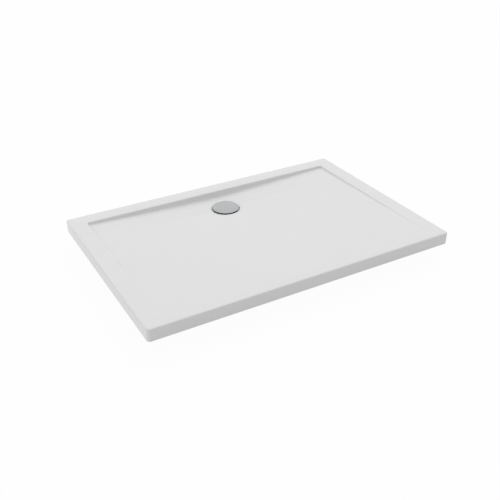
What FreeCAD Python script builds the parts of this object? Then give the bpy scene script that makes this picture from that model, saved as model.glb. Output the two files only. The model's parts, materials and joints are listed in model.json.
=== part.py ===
import FreeCAD, Part
import math
import os

import Sketcher
from FreeCAD import Placement, Rotation, Vector

# A low rectangular shower tray on short screw feet, with its waste and trap.
#
# Frame: origin on the floor under the middle of the tray, X along the long side,
# Y towards the wall side where the waste is, Z up. Sizes are in millimetres.
#
# The tray is a thermoformed acrylic sheet with a fibreglass coat under it, a foam
# core and a chipboard base board. Three steel rails under the board carry six
# screw feet. The waste flange screws into the trap and clamps the tray between two
# seals. Its cover and its odour insert lift out, and the outlet swings on a ball.

# ---------------------------------------------------------------- driving sizes
# Each row is a name, a value and what it is. A value that starts with "=" is
# worked out from the others.
SIZES = [
    ("tray_length", "1200", "overall, left to right"),
    ("tray_width", "800", "overall, front to back"),
    ("skirt_height", "45", "height of the tray's edge"),
    ("leg_clearance", "58", "floor to the bottom of the skirt, feet screwed in"),
    ("corner_radius", "12", "upright outer corners"),
    ("rim_round", "5", "rounding along the rim's outer edge"),
    ("rim_width", "60", "flat rim at the left, right and back"),
    ("front_flat", "52", "flat strip at the front, before the floor falls"),
    ("sheet_thickness", "4", "acrylic sheet"),
    ("backing_thickness", "2", "sprayed fibreglass coat"),
    ("rim_top", "=leg_clearance + skirt_height", "level of the rim"),
    ("half_length", "=tray_length / 2", "middle to the tray's end"),
    ("half_width", "=tray_width / 2", "middle to the tray's long edge"),
    # the basin
    ("side_depth", "10", "floor below the rim at the back corners"),
    ("drain_depth", "28", "floor below the rim at the waste"),
    ("back_depth", "24.5", "floor below the rim at the middle of the back wall"),
    ("valley_softness", "0.2", "share of the half length that the valley is rounded over"),
    ("wall_lean", "0.18", "sideways run of the basin's wall for each unit down"),
    ("basin_corner", "8", "plan radius of the basin's corners"),
    ("floor_fillet", "5", "radius where the floor meets the walls"),
    ("least_corner", "2", "plan radius of the basin's corners at their bottom"),
    ("front_run_out", "31", "basin's cutting shape ahead of where the floor starts"),
    ("cut_margin", "15", "how far a cutting shape runs past what it cuts"),
    ("basin_half_length", "=half_length - rim_width", "middle to the basin's end"),
    ("basin_back", "=half_width - rim_width", "place of the basin's back wall"),
    ("basin_front", "=front_flat - half_width", "place where the floor starts to fall"),
    # the waste's seat in the tray
    ("drain_offset", "172", "middle of the waste to the tray's back edge"),
    ("drain_y", "=half_width - drain_offset", "place of the waste"),
    ("dish_radius", "56", "round dish around the waste"),
    ("dish_depth", "4", "dish below the floor"),
    ("waste_hole_radius", "45", "hole for a 90 mm waste"),
    ("seat_top", "=rim_top - drain_depth - dish_depth", "level of the dish's face"),
    ("seat_under", "=seat_top - sheet_thickness - backing_thickness", "level of its underside"),
    # base board
    ("board_thickness", "9", "chipboard"),
    ("board_inset", "1", "board above the bottom of the skirt"),
    ("board_gap", "0.5", "board to the fibreglass coat, all round"),
    ("cutout_radius", "70", "round cut-out in board and foam for the trap"),
    ("board_bottom", "=leg_clearance + board_inset", "level of the board's underside"),
    ("board_top", "=board_bottom + board_thickness", "level of the board's top"),
    ("board_half_length", "=half_length - sheet_thickness - backing_thickness - board_gap",
     "middle to the board's end"),
    ("board_half_width", "=half_width - sheet_thickness - backing_thickness - board_gap",
     "middle to the board's long edge"),
    ("board_corner", "=corner_radius - sheet_thickness - backing_thickness - board_gap",
     "upright corners of the board"),
    ("board_left", "=-board_half_length", "place of the board's left end"),
    ("board_front", "=-board_half_width", "place of the board's front edge"),
    # where the feet stand
    ("foot_setback", "110", "tray's long edges to the front and back feet"),
    ("middle_foot_to_waste", "198", "foot in the middle to the waste"),
    ("rail_setback", "200", "tray's ends to each side rail"),
    ("back_y", "=half_width - foot_setback", "place of the back feet"),
    ("front_y", "=-back_y", "place of the front feet"),
    ("middle_foot_y", "=drain_y - middle_foot_to_waste", "place of the foot in the middle"),
    ("right_x", "=half_length - rail_setback", "place of the right rail"),
    ("left_x", "=-right_x", "place of the left rail"),
    ("centre_x", "0", "place of the centre rail"),
    # rails
    ("rail_width", "30", "steel channel, open side down"),
    ("rail_height", "15", "height of the channel"),
    ("rail_wall", "2", "steel thickness"),
    ("rail_overhang", "60", "rail past the middle of its last foot"),
    ("side_rail_length", "=back_y - front_y + 2 * rail_overhang", "side rails, front to back"),
    ("centre_rail_length", "=middle_foot_y - front_y + 2 * rail_overhang",
     "centre rail, front to back"),
    ("rail_y", "=(front_y + back_y) / 2", "middle of the side rails"),
    ("centre_rail_y", "=(front_y + middle_foot_y) / 2", "middle of the centre rail"),
    ("rail_half", "=rail_width / 2", "half the channel's width"),
    ("rail_inner_half", "=rail_half - rail_wall", "half the channel's inner width"),
    ("rail_left", "=-rail_half", "left side of the channel"),
    ("rail_inner_left", "=-rail_inner_half", "left inner side of the channel"),
    ("web_level", "=-rail_wall", "underside of the web, from the channel's top"),
    ("rail_foot_level", "=-rail_height", "bottom of the channel, from its top"),
    ("web_bottom", "=board_bottom - rail_wall", "level of the web's underside"),
    # feet
    ("rod_radius", "6", "M12 rod"),
    ("thread_clearance", "0.05", "rod to nut and rod to pad, on the radius"),
    ("rod_above_board", "6", "rod above the board, screwed in"),
    ("rod_chamfer", "1", "chamfer at the rod's upper end"),
    ("pad_floor", "3", "pad under the end of the rod"),
    ("pad_radius", "25", "foot pad"),
    ("pad_edge", "5", "height of the pad's edge"),
    ("pad_top", "12", "height of the pad's neck"),
    ("pad_neck", "13", "radius of the pad's neck"),
    ("rod_bore", "=rod_radius + thread_clearance", "bore of the nuts and the pad's socket"),
    ("collar_gap", "0.3", "spanner collar above the pad"),
    ("collar_across", "19", "spanner collar, across the flats"),
    ("collar_height", "7", "height of the spanner collar"),
    ("nut_across", "18", "M12 nuts, across the flats"),
    ("weld_nut_height", "10", "nut welded under the rail's web"),
    ("lock_nut_height", "6", "lock nut under the weld nut"),
    ("rod_hole_radius", "8", "hole in the board and foam above each rod"),
    ("rod_head_room", "2", "foam hole above the rod's end"),
    ("web_hole_radius", "6.6", "hole for the rod in the rail's web"),
    ("weld_nut_bottom", "=web_bottom - weld_nut_height", "level"),
    ("lock_nut_bottom", "=weld_nut_bottom - lock_nut_height", "level"),
    ("collar_bottom", "=pad_top + collar_gap", "level"),
    ("nut_circumradius", "=nut_across / sqrt(3)", "across the corners, halved"),
    ("collar_circumradius", "=collar_across / sqrt(3)", "across the corners, halved"),
    ("rod_end", "=board_top + rod_above_board", "level"),
    ("rod_shoulder", "=rod_end - rod_chamfer", "level"),
    ("rod_tip_radius", "=rod_radius - rod_chamfer", "rod inside its chamfer"),
    # rail screws
    ("screw_head_radius", "4.5", "pan head"),
    ("screw_head_height", "2.4", "pan head"),
    ("screw_radius", "2.2", "shank"),
    ("screw_length", "10.5", "shank, from under the head"),
    ("screw_clearance", "0.1", "shank in the web and in the board's pilot hole"),
    ("screw_to_foot", "60", "outer screws of a side rail to the nearest foot"),
    ("side_screw_near", "80", "middle of a side rail to its inner screws"),
    ("centre_screw_step", "90", "from screw to screw on the centre rail"),
    ("screw_hole_radius", "=screw_radius + screw_clearance", "holes for the rail screws"),
    ("screw_head_under", "=-screw_head_height", "from the underside of the web"),
    ("side_screw_1", "=front_y + screw_to_foot", "place"),
    ("side_screw_2", "=rail_y - side_screw_near", "place"),
    ("side_screw_3", "=rail_y + side_screw_near", "place"),
    ("side_screw_4", "=back_y - screw_to_foot", "place"),
    ("centre_screw_1", "=centre_rail_y - centre_screw_step", "place"),
    ("centre_screw_2", "=centre_rail_y", "place"),
    ("centre_screw_3", "=centre_rail_y + centre_screw_step", "place"),
    # waste flange and its seals
    ("flange_radius", "51", "waste flange"),
    ("flange_thickness", "2", "waste flange"),
    ("flange_chamfer", "1", "edge of the waste flange"),
    ("upper_seal_thickness", "1.5", "seal under the flange"),
    ("lower_seal_thickness", "3", "seal between tray and trap"),
    ("seal_inset", "1", "seal inside the flange's edge"),
    ("neck_radius", "44.25", "flange neck, over its thread"),
    ("neck_bore", "41.5", "bore of the flange neck"),
    ("neck_depth", "20.5", "flange neck below the flange's top"),
    ("ledge_bore", "38.5", "hole in the ledge that carries the insert"),
    ("ledge_thickness", "2", "ledge at the bottom of the neck"),
    ("flange_bottom", "=seat_top + upper_seal_thickness", "level"),
    ("flange_top", "=flange_bottom + flange_thickness", "level"),
    ("flange_shoulder", "=flange_top - flange_chamfer", "level"),
    ("flange_shoulder_radius", "=flange_radius - flange_chamfer", "flange inside its chamfer"),
    ("neck_bottom", "=flange_top - neck_depth", "level"),
    ("ledge_top", "=neck_bottom + ledge_thickness", "level"),
    ("upper_seal_inner", "=waste_hole_radius + seal_inset", "inner radius"),
    ("upper_seal_outer", "=flange_radius - seal_inset", "outer radius"),
    # trap
    ("trap_radius", "58", "trap body"),
    ("trap_wall", "2.5", "trap body"),
    ("trap_bottom", "8", "trap above the floor"),
    ("collar_thickness", "4", "trap collar under the lower seal"),
    ("collar_boss_depth", "8", "threaded boss inside the collar"),
    ("weir_radius", "40", "inner face of the weir"),
    ("weir_height", "35", "weir above the trap's floor"),
    ("trap_top", "=seat_under - lower_seal_thickness", "level"),
    ("trap_inner", "=trap_radius - trap_wall", "radius"),
    ("trap_floor", "=trap_bottom + trap_wall", "level"),
    ("collar_bore", "=neck_radius + thread_clearance", "radius"),
    ("collar_boss_radius", "=collar_bore + trap_wall", "outer radius of the threaded boss"),
    ("collar_under", "=trap_top - collar_thickness", "level"),
    ("collar_boss_bottom", "=trap_top - collar_boss_depth", "level"),
    ("weir_outer", "=weir_radius + trap_wall", "radius"),
    ("weir_top", "=trap_floor + weir_height", "level"),
    ("lower_seal_inner", "=waste_hole_radius + seal_inset", "inner radius"),
    ("lower_seal_outer", "=trap_radius - seal_inset", "outer radius"),
    # odour insert, its ring and the strainer
    ("insert_clearance", "0.3", "insert in the flange neck, on the radius"),
    ("insert_ring_height", "8", "top ring of the insert"),
    ("insert_radius", "33", "dip tube"),
    ("insert_wall", "2", "dip tube"),
    ("insert_foot_gap", "4.5", "dip tube above the trap's floor"),
    ("ring_groove_depth", "1.8", "groove for the round seal"),
    ("ring_thickness", "2.4", "round seal"),
    ("ring_level", "1.8", "groove above the ledge"),
    ("ring_squeeze", "0.05", "round seal to the neck's bore"),
    ("insert_ring_radius", "=neck_bore - insert_clearance", "top ring of the insert"),
    ("insert_bore", "=insert_radius - insert_wall", "inside of the dip tube"),
    ("insert_top", "=ledge_top + insert_ring_height", "level"),
    ("insert_foot", "=trap_floor + insert_foot_gap", "level"),
    ("groove_radius", "=insert_ring_radius - ring_groove_depth", "bottom of the groove"),
    ("groove_bottom", "=ledge_top + ring_level", "level"),
    ("groove_top", "=groove_bottom + ring_thickness", "level"),
    ("ring_outer", "=neck_bore - ring_squeeze", "outer radius of the round seal"),
    ("strainer_rim", "33.2", "rim of the hair strainer"),
    ("strainer_radius", "30.4", "basket of the hair strainer"),
    ("strainer_wall", "1.5", "hair strainer"),
    ("strainer_depth", "10", "basket below the insert's top"),
    ("strainer_hole_radius", "1.8", "holes in the basket's floor"),
    ("strainer_hole_ring", "21.5", "outer ring of holes"),
    ("strainer_inner_ring", "13", "inner ring of holes"),
    ("strainer_bore", "=strainer_radius - strainer_wall", "inside of the basket"),
    ("strainer_top", "=insert_top + strainer_wall", "level"),
    ("strainer_bottom", "=insert_top - strainer_depth", "level"),
    ("strainer_floor", "=strainer_bottom + strainer_wall", "level"),
    # cover
    ("cover_radius", "53", "chromed cover"),
    ("cover_height", "8.5", "top of the cover above the basin's floor"),
    ("cover_thickness", "1.5", "chromed cover"),
    ("cover_rim", "3.5", "turned-down rim, from the top"),
    ("cover_edge", "1.2", "slope along the cover's edge"),
    ("notch_radius", "14", "thumb notch at the cover's back edge"),
    ("notch_depth", "4", "how far the notch bites into the cover"),
    ("carrier_radius", "40", "plastic carrier under the cover"),
    ("carrier_thickness", "2", "plastic carrier"),
    ("prop_radius", "2.5", "carrier's legs"),
    ("prop_clearance", "0.2", "carrier's legs inside the strainer's basket"),
    ("cover_top", "=rim_top - drain_depth + cover_height", "level"),
    ("cover_edge_level", "=cover_top - cover_edge", "level"),
    ("cover_edge_radius", "=cover_radius - cover_edge", "cover inside its sloping edge"),
    ("cover_under", "=cover_top - cover_thickness", "level"),
    ("cover_rim_bottom", "=cover_top - cover_rim", "level"),
    ("cover_rim_inner", "=cover_radius - cover_thickness", "inside of the turned-down rim"),
    ("carrier_bottom", "=cover_under - carrier_thickness", "level"),
    ("prop_ring", "=strainer_bore - prop_clearance - prop_radius",
     "cover's axis to each of the carrier's legs"),
    ("prop_length", "=carrier_bottom - strainer_floor",
     "from the carrier to the basket's floor"),
    ("notch_place", "=cover_radius - notch_depth + notch_radius",
     "cover's axis to the middle of the notch"),
    # outlet
    ("outlet_level", "30", "middle of the outlet above the floor"),
    ("outlet_reach", "92", "middle of the waste to the middle of the ball"),
    ("outlet_bore", "18", "water way"),
    ("stub_wall", "3.5", "stub on the trap"),
    ("ball_radius", "22.5", "ball on the outlet pipe"),
    ("ball_clearance", "0.3", "ball in its socket and seal"),
    ("socket_wall", "2.7", "ball socket on the trap"),
    ("socket_length", "22", "ball socket on the trap"),
    ("pipe_radius", "20", "outlet pipe, 40 mm outside"),
    ("pipe_bore", "17", "outlet pipe"),
    ("pipe_length", "65", "middle of the ball to the end of the pipe"),
    ("outlet_seal_length", "6.2", "seal behind the ball"),
    ("outlet_seal_depth", "3.5", "seal inside the ball's seat, before the seat is cut"),
    ("union_radius", "28", "union nut"),
    ("union_reach", "14", "union nut over the socket"),
    ("union_lip", "3.2", "lip of the union nut"),
    ("union_lip_bore", "22.5", "hole in the lip"),
    ("union_flute_radius", "2", "grip flutes of the union nut"),
    ("flute_offset", "0.7", "middle of each flute outside the union nut"),
    ("ball_y", "=drain_y + outlet_reach", "place of the ball"),
    ("ball_seat_radius", "=ball_radius + ball_clearance", "seat for the ball"),
    ("ball_socket_radius", "=ball_seat_radius + socket_wall", "outside of the ball socket"),
    ("stub_radius", "=outlet_bore + stub_wall", "outside of the stub"),
    ("stub_start", "=trap_inner + trap_wall / 2", "inside the trap's wall"),
    ("bore_start", "=weir_outer + trap_wall", "clear of the weir"),
    ("union_bore", "=ball_socket_radius + thread_clearance", "inside of the union nut's thread"),
    ("outlet_seal_start", "=ball_clearance", "from the middle of the ball"),
    ("outlet_seal_end", "=outlet_seal_start + outlet_seal_length", "from the middle of the ball"),
    ("outlet_seal_outer", "=union_bore - ball_clearance", "outer radius"),
    ("outlet_seal_inner", "=ball_seat_radius - outlet_seal_depth",
     "before the ball's shape is cut"),
    ("union_front", "=-union_reach", "from the middle of the ball"),
    ("union_shoulder", "=outlet_seal_end + ball_clearance",
     "inner face of the lip, from the middle of the ball"),
    ("union_end", "=union_shoulder + union_lip",
     "outer face of the lip, from the middle of the ball"),
    ("stub_length", "=outlet_reach - socket_length / 2 - stub_start",
     "into the middle of the ball socket"),
    ("socket_start", "=outlet_reach - socket_length", "from the middle of the waste"),
    ("way_length", "=outlet_reach - bore_start", "water way through stub and socket"),
    ("water_way_start", "=-ball_radius", "from the middle of the ball"),
    ("water_way_length", "=ball_radius + pipe_length", "water way through ball and pipe"),
    ("union_length", "=union_end - union_front", "union nut, end to end"),
    ("flute_place", "=union_radius + flute_offset", "union nut's axis to each flute"),
]

SCREWS_ON_SIDE_RAIL = ("side_screw_1", "side_screw_2", "side_screw_3", "side_screw_4")
SCREWS_ON_CENTRE_RAIL = ("centre_screw_1", "centre_screw_2", "centre_screw_3")

# name of the rail, its place across the tray, its middle, its length and its screws
RAILS = [
    ("left_rail", "left_x", "rail_y", "side_rail_length", SCREWS_ON_SIDE_RAIL),
    ("centre_rail", "centre_x", "centre_rail_y", "centre_rail_length", SCREWS_ON_CENTRE_RAIL),
    ("right_rail", "right_x", "rail_y", "side_rail_length", SCREWS_ON_SIDE_RAIL),
]

# name of the foot, its rail and its place across and along the tray
FEET = [
    ("front_left", "left_rail", "left_x", "front_y"),
    ("back_left", "left_rail", "left_x", "back_y"),
    ("front_centre", "centre_rail", "centre_x", "front_y"),
    ("middle", "centre_rail", "centre_x", "middle_foot_y"),
    ("front_right", "right_rail", "right_x", "front_y"),
    ("back_right", "right_rail", "right_x", "back_y"),
]

PROP_COUNT = 3
OUTER_HOLE_COUNT = 16
INNER_HOLE_COUNT = 8
FLUTE_COUNT = 16

# how finely the basin's floor is laid out, across the tray and along it
FLOOR_COLUMNS = 16
ROWS_TO_WASTE = 6
ROWS_BEHIND = 3

# edges this close to a level lie on it
LEVEL_TOLERANCE = 0.01

document = FreeCAD.newDocument("shower_tray")
sheet = document.addObject("Spreadsheet::Sheet", "sizes")
finished = []


# ---------------------------------------------------------------- sheet helpers
def fill_sheet():
    """Write the table above into the sheet, one named row for each size."""
    for row, (name, value, meaning) in enumerate(SIZES, start=1):
        sheet.set("A%d" % row, name)
        sheet.set("B%d" % row, value)
        sheet.set("C%d" % row, meaning)
        sheet.setAlias("B%d" % row, name)
    document.recompute()


def size(name):
    """The value of a named size, in millimetres."""
    return float(sheet.get(name))


def bind(target, prop, name, less=None):
    """Tie a property of an object to a named size, or to one size less another."""
    formula = "sizes." + name
    if less is not None:
        formula += " - sizes." + less
    target.setExpression(prop, formula)


def finish(target, label):
    """Name a finished piece, so that it is checked and written."""
    target.Label = label
    finished.append(target)
    return target


def place(target, across=None, along=None, level=None):
    """Tie a piece's place to named sizes. None leaves it at zero."""
    for axis, name in (("x", across), ("y", along), ("z", level)):
        if name is not None:
            bind(target, "Placement.Base." + axis, name)


# ---------------------------------------------------------------- sketch helpers
def origin_plane(body, role):
    """One of a body's own three planes, by its role."""
    return [part for part in body.Origin.OriginFeatures if part.Role == role][0]


def new_sketch(body, name, role):
    """An empty sketch on one of a body's own planes."""
    sketch = body.newObject("Sketcher::SketchObject", name)
    sketch.AttachmentSupport = (origin_plane(body, role), [""])
    sketch.MapMode = "FlatFace"
    return sketch


def tie_point(sketch, geometry, point, across, up):
    """Hold a point of a sketch at two named sizes from the origin. None means zero."""
    if across is None:
        sketch.addConstraint(Sketcher.Constraint("PointOnObject", geometry, point, -2))
    else:
        value = size(across)
        index = sketch.addConstraint(
            Sketcher.Constraint("DistanceX", -1, 1, geometry, point, value))
        bind(sketch, "Constraints[%d]" % index, across)
    if up is None:
        sketch.addConstraint(Sketcher.Constraint("PointOnObject", geometry, point, -1))
    else:
        value = size(up)
        index = sketch.addConstraint(
            Sketcher.Constraint("DistanceY", -1, 1, geometry, point, value))
        bind(sketch, "Constraints[%d]" % index, up)


def draw_polygon(sketch, corners):
    """Draw a closed outline whose corners are pairs of named sizes."""
    values = [tuple(0.0 if name is None else size(name) for name in corner) for corner in corners]
    count = len(corners)
    for index in range(count):
        start = values[index]
        end = values[(index + 1) % count]
        sketch.addGeometry(Part.LineSegment(Vector(*start, 0), Vector(*end, 0)))
    for index in range(count):
        after = (index + 1) % count
        sketch.addConstraint(Sketcher.Constraint("Coincident", index, 2, after, 1))
    for index, (across, up) in enumerate(corners):
        tie_point(sketch, index, 1, across, up)


def new_body(name):
    """A body for one piece."""
    return document.addObject("PartDesign::Body", name)


def turned_body(name, corners):
    """A piece turned from a half outline of radius and level, around the upright axis."""
    body = new_body(name)
    sketch = new_sketch(body, name + "_outline", "XZ_Plane")
    draw_polygon(sketch, corners)
    turned = body.newObject("PartDesign::Revolution", name + "_turned")
    turned.Profile = sketch
    turned.ReferenceAxis = (sketch, ["V_Axis"])
    turned.Angle = 360
    sketch.Visibility = False
    document.recompute()
    return body


def add_primitive(body, kind, name, sizes, turn=None, across=None, along=None, level=None):
    """Add or cut a cylinder, ball, prism or box in a body.

    sizes gives the named size of each of its properties. across, along and level are
    the named sizes of its place. turn is the rotation of its own axis.
    """
    feature = body.newObject("PartDesign::" + kind, name)
    if turn is not None:
        feature.Placement = Placement(Vector(0, 0, 0), turn)
    for prop, value in sizes.items():
        bind(feature, prop, value)
    place(feature, across, along, level)
    document.recompute()
    return feature


def repeat_around(body, feature, name, count):
    """Repeat a feature evenly around the body's upright axis."""
    pattern = body.newObject("PartDesign::PolarPattern", name)
    pattern.Originals = [feature]
    axis = [part for part in body.Origin.OriginFeatures if part.Role == "Z_Axis"][0]
    pattern.Axis = (axis, [""])
    pattern.Angle = 360
    pattern.Occurrences = count
    body.Tip = pattern
    document.recompute()
    return pattern


# ---------------------------------------------------------------- the tray
def rounded_rectangle(left, right, front, back, level, radius):
    """A closed wire: a rectangle with rounded corners at one level."""
    cut = radius * (1 - math.sqrt(0.5))
    corners = [
        (right - radius, front, right - cut, front + cut, right, front + radius),
        (right, back - radius, right - cut, back - cut, right - radius, back),
        (left + radius, back, left + cut, back - cut, left, back - radius),
        (left, front + radius, left + cut, front + cut, left + radius, front),
    ]
    edges = []
    for index, (x0, y0, xm, ym, x1, y1) in enumerate(corners):
        start = Vector(x0, y0, level)
        end = Vector(x1, y1, level)
        edges.append(Part.Arc(start, Vector(xm, ym, level), end).toShape())
        following = corners[(index + 1) % len(corners)]
        edges.append(Part.LineSegment(end, Vector(following[0], following[1], level)).toShape())
    return Part.Wire(edges)


def fall(x, y):
    """How far the basin's floor lies below the rim at a place in plan.

    The sides fall evenly from front to back. The middle falls to the waste and
    rises a little behind it. Across the tray the floor is a softly rounded valley.
    """
    front, back, waste = size("basin_front"), size("basin_back"), size("drain_y")
    side = size("side_depth") * (y - front) / (back - front)
    if y <= waste:
        middle = size("drain_depth") * (y - front) / (waste - front)
    else:
        rise = size("drain_depth") - size("back_depth")
        middle = size("drain_depth") - rise * (y - waste) / (back - waste)
    soft = size("valley_softness")
    share = x / size("basin_half_length")
    edge = math.sqrt(1 + soft * soft)
    valley = (edge - math.sqrt(share * share + soft * soft)) / (edge - soft)
    return side + (middle - side) * valley


def floor_face(lowered):
    """The basin's floor as one smooth face, lowered by a sheet's thickness."""
    half_length, half_width = size("half_length"), size("half_width")
    waste = size("drain_y")
    across = [half_length * (2 * index / FLOOR_COLUMNS - 1)
              for index in range(FLOOR_COLUMNS + 1)]
    along = [-half_width + (waste + half_width) * index / ROWS_TO_WASTE
             for index in range(ROWS_TO_WASTE + 1)]
    along += [waste + (half_width - waste) * index / ROWS_BEHIND
              for index in range(1, ROWS_BEHIND + 1)]
    level = size("rim_top") - lowered
    points = [[Vector(x, y, level - fall(x, y)) for y in along] for x in across]
    surface = Part.BSplineSurface()
    surface.interpolate(points)
    return surface.toShape()


def basin_space(grown):
    """The space of the basin with its dish, grown by a sheet's thickness."""
    reach_down = size("drain_depth") + size("dish_depth") + size("cut_margin")
    reach_up = size("cut_margin")
    past_front = size("front_run_out")
    lean = size("wall_lean")
    wires = []
    for drop in (reach_down, -reach_up):
        half = size("basin_half_length") + grown - lean * drop
        back = size("basin_back") + grown - lean * drop
        front = size("basin_front") - past_front - grown
        radius = size("basin_corner") + grown - lean * drop
        radius = max(radius, size("least_corner"))
        wires.append(rounded_rectangle(-half, half, front, back, size("rim_top") - drop, radius))
    walls = Part.makeLoft(wires, True, True)
    above_floor = floor_face(grown).extrude(Vector(0, 0, reach_down + reach_up * 2))
    space = walls.common(above_floor)
    bottom_edges = floor_edges(space)
    space = space.makeFillet(size("floor_fillet") + grown, bottom_edges)
    dish_bottom = size("seat_top") - grown
    dish = Part.makeCylinder(size("dish_radius") + grown, size("rim_top") - dish_bottom,
                             Vector(0, size("drain_y"), dish_bottom))
    return space.fuse(dish).removeSplitter()


def floor_edges(space):
    """The edges where the floor of a basin space meets its walls."""
    floor = [face for face in space.Faces
             if isinstance(face.Surface, Part.BSplineSurface) and face.normalAt(0, 0).z < 0]
    floor.sort(key=lambda face: face.Area)
    return floor[-1].Edges


def skirt_block(inset, bottom):
    """The tray's outside as a block, made smaller all over by inset."""
    half_length = size("half_length") - inset
    half_width = size("half_width") - inset
    top = size("rim_top") - inset
    radius = size("corner_radius") - inset
    outline = rounded_rectangle(-half_length, half_length, -half_width, half_width, bottom, radius)
    block = Part.Face(outline).extrude(Vector(0, 0, top - bottom))
    rounding = size("rim_round") - inset
    if rounding > 0:
        top_edges = [edge for edge in block.Edges if edge.BoundBox.ZMin > top - LEVEL_TOLERANCE]
        block = block.makeFillet(rounding, top_edges)
    return block


def hollow_under(inset):
    """The space under a sheet of this thickness, inside the skirt and below the basin."""
    below = size("leg_clearance") - size("cut_margin")
    return skirt_block(inset, below).cut(basin_space(inset))


def waste_hole(radius):
    """A round hole through the tray at the waste."""
    return Part.makeCylinder(radius, size("rim_top"), Vector(0, size("drain_y"), 0))


def shape_feature(label, shape):
    """A piece whose shape is worked out above."""
    feature = document.addObject("Part::Feature", label)
    feature.Shape = shape
    feature.Placement = Placement()
    return finish(feature, label)


def make_tray():
    """The acrylic shell, its fibreglass coat and the foam core."""
    sheet_only = size("sheet_thickness")
    both = sheet_only + size("backing_thickness")
    hole = waste_hole(size("waste_hole_radius"))
    under_sheet = hollow_under(sheet_only)
    under_coat = hollow_under(both)
    shell = skirt_block(0.0, size("leg_clearance")).cut([basin_space(0.0), under_sheet, hole])
    shape_feature("acrylic_shell", shell)

    skirt_bottom = size("leg_clearance")
    too_low = Part.makeBox(size("tray_length"), size("tray_width"), skirt_bottom,
                           Vector(-size("half_length"), -size("half_width"), 0))
    coat = under_sheet.cut([under_coat, hole, too_low])
    shape_feature("fibreglass_backing", coat)

    below_foam = Part.makeBox(size("tray_length"), size("tray_width"), size("board_top"),
                              Vector(-size("half_length"), -size("half_width"), 0))
    cutters = [below_foam, waste_hole(size("cutout_radius"))]
    for _name, _rail, across, along in FEET:
        pocket_top = size("rod_end") + size("rod_head_room")
        cutters.append(Part.makeCylinder(size("rod_hole_radius"), pocket_top,
                                         Vector(size(across), size(along), 0)))
    shape_feature("foam_core", under_coat.cut(cutters))


def make_base_board():
    """The chipboard under the foam, cut out for the trap, the rods and the screws."""
    body = new_body("board")
    outline = new_sketch(body, "board_outline", "XY_Plane")
    left, right = "board_left", "board_half_length"
    front, back = "board_front", "board_half_width"
    draw_polygon(outline, [(left, front), (right, front), (right, back), (left, back)])
    board = body.newObject("PartDesign::Pad", "board_pad")
    board.Profile = outline
    bind(board, "Length", "board_thickness")
    document.recompute()
    corners = ["Edge%d" % (index + 1) for index, edge in enumerate(board.Shape.Edges)
               if edge.BoundBox.ZLength > size("board_thickness") / 2]
    rounded = body.newObject("PartDesign::Fillet", "board_corners")
    rounded.Base = (board, corners)
    bind(rounded, "Radius", "board_corner")
    document.recompute()

    through = "board_thickness"
    add_primitive(body, "SubtractiveCylinder", "trap_cutout",
                  {"Radius": "cutout_radius", "Height": through}, along="drain_y")
    for name, _rail, across, along in FEET:
        add_primitive(body, "SubtractiveCylinder", "board_rod_hole_" + name,
                      {"Radius": "rod_hole_radius", "Height": through},
                      across=across, along=along)
    for rail, across, _middle, _length, screws in RAILS:
        for screw in screws:
            add_primitive(body, "SubtractiveCylinder", "pilot_%s_%s" % (rail, screw),
                          {"Radius": "screw_hole_radius", "Height": through},
                          across=across, along=screw)
    place(body, level="board_bottom")
    document.recompute()
    finish(body, "base_board")


# ---------------------------------------------------------------- rails and feet
def make_rail(label, across, middle, length, screws):
    """A steel channel, open side down, with its holes for rods and screws."""
    body = new_body(label + "_channel")
    outline = new_sketch(body, label + "_section", "XZ_Plane")
    draw_polygon(outline, [
        ("rail_left", None), ("rail_half", None),
        ("rail_half", "rail_foot_level"), ("rail_inner_half", "rail_foot_level"),
        ("rail_inner_half", "web_level"), ("rail_inner_left", "web_level"),
        ("rail_inner_left", "rail_foot_level"), ("rail_left", "rail_foot_level")])
    channel = body.newObject("PartDesign::Pad", label + "_pad")
    channel.Profile = outline
    channel.Midplane = True
    bind(channel, "Length", length)
    document.recompute()
    for name, rail, _across, along in FEET:
        if rail == label:
            add_web_hole(body, "rod_hole_" + name, "web_hole_radius", along, middle)
    for screw in screws:
        add_web_hole(body, "%s_%s" % (label, screw), "screw_hole_radius", screw, middle)
    place(body, across, middle, "board_bottom")
    document.recompute()
    finish(body, label)


def add_web_hole(body, name, radius, along, middle):
    """A hole through a rail's web, at a place along the tray."""
    hole = add_primitive(body, "SubtractiveCylinder", name,
                         {"Radius": radius, "Height": "rail_wall"}, level="web_level")
    bind(hole, "Placement.Base.y", along, less=middle)
    document.recompute()


def make_hex_nut(name, height, across, along, level):
    """One M12 nut on a foot's rod."""
    body = new_body(name)
    add_primitive(body, "AdditivePrism", name + "_hexagon",
                  {"Circumradius": "nut_circumradius", "Height": height})
    add_primitive(body, "SubtractiveCylinder", name + "_bore",
                  {"Radius": "rod_bore", "Height": height})
    place(body, across, along, level)
    return body


def make_group(label, pieces):
    """Identical fasteners under one name, each a solid of its own."""
    group = document.addObject("Part::Compound", label + "_group")
    group.Links = pieces
    document.recompute()
    finish(group, label)


def make_nuts():
    """The nuts welded into the rails and the lock nuts under them."""
    weld_nuts = []
    lock_nuts = []
    for name, _rail, across, along in FEET:
        weld_nuts.append(make_hex_nut("weld_nut_" + name, "weld_nut_height",
                                      across, along, "weld_nut_bottom"))
        lock_nuts.append(make_hex_nut("lock_nut_" + name, "lock_nut_height",
                                      across, along, "lock_nut_bottom"))
    make_group("rail_weld_nuts", weld_nuts)
    make_group("foot_lock_nuts", lock_nuts)


def make_rail_screws():
    """The pan-head screws that hold the rails to the board."""
    screws = []
    for rail, across, _middle, _length, places in RAILS:
        for along in places:
            screw = turned_body("screw_%s_%s" % (rail, along), [
                (None, "screw_head_under"), ("screw_head_radius", "screw_head_under"),
                ("screw_head_radius", None), ("screw_radius", None),
                ("screw_radius", "screw_length"), (None, "screw_length")])
            place(screw, across, along, "web_bottom")
            screws.append(screw)
    make_group("rail_screws", screws)


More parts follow.
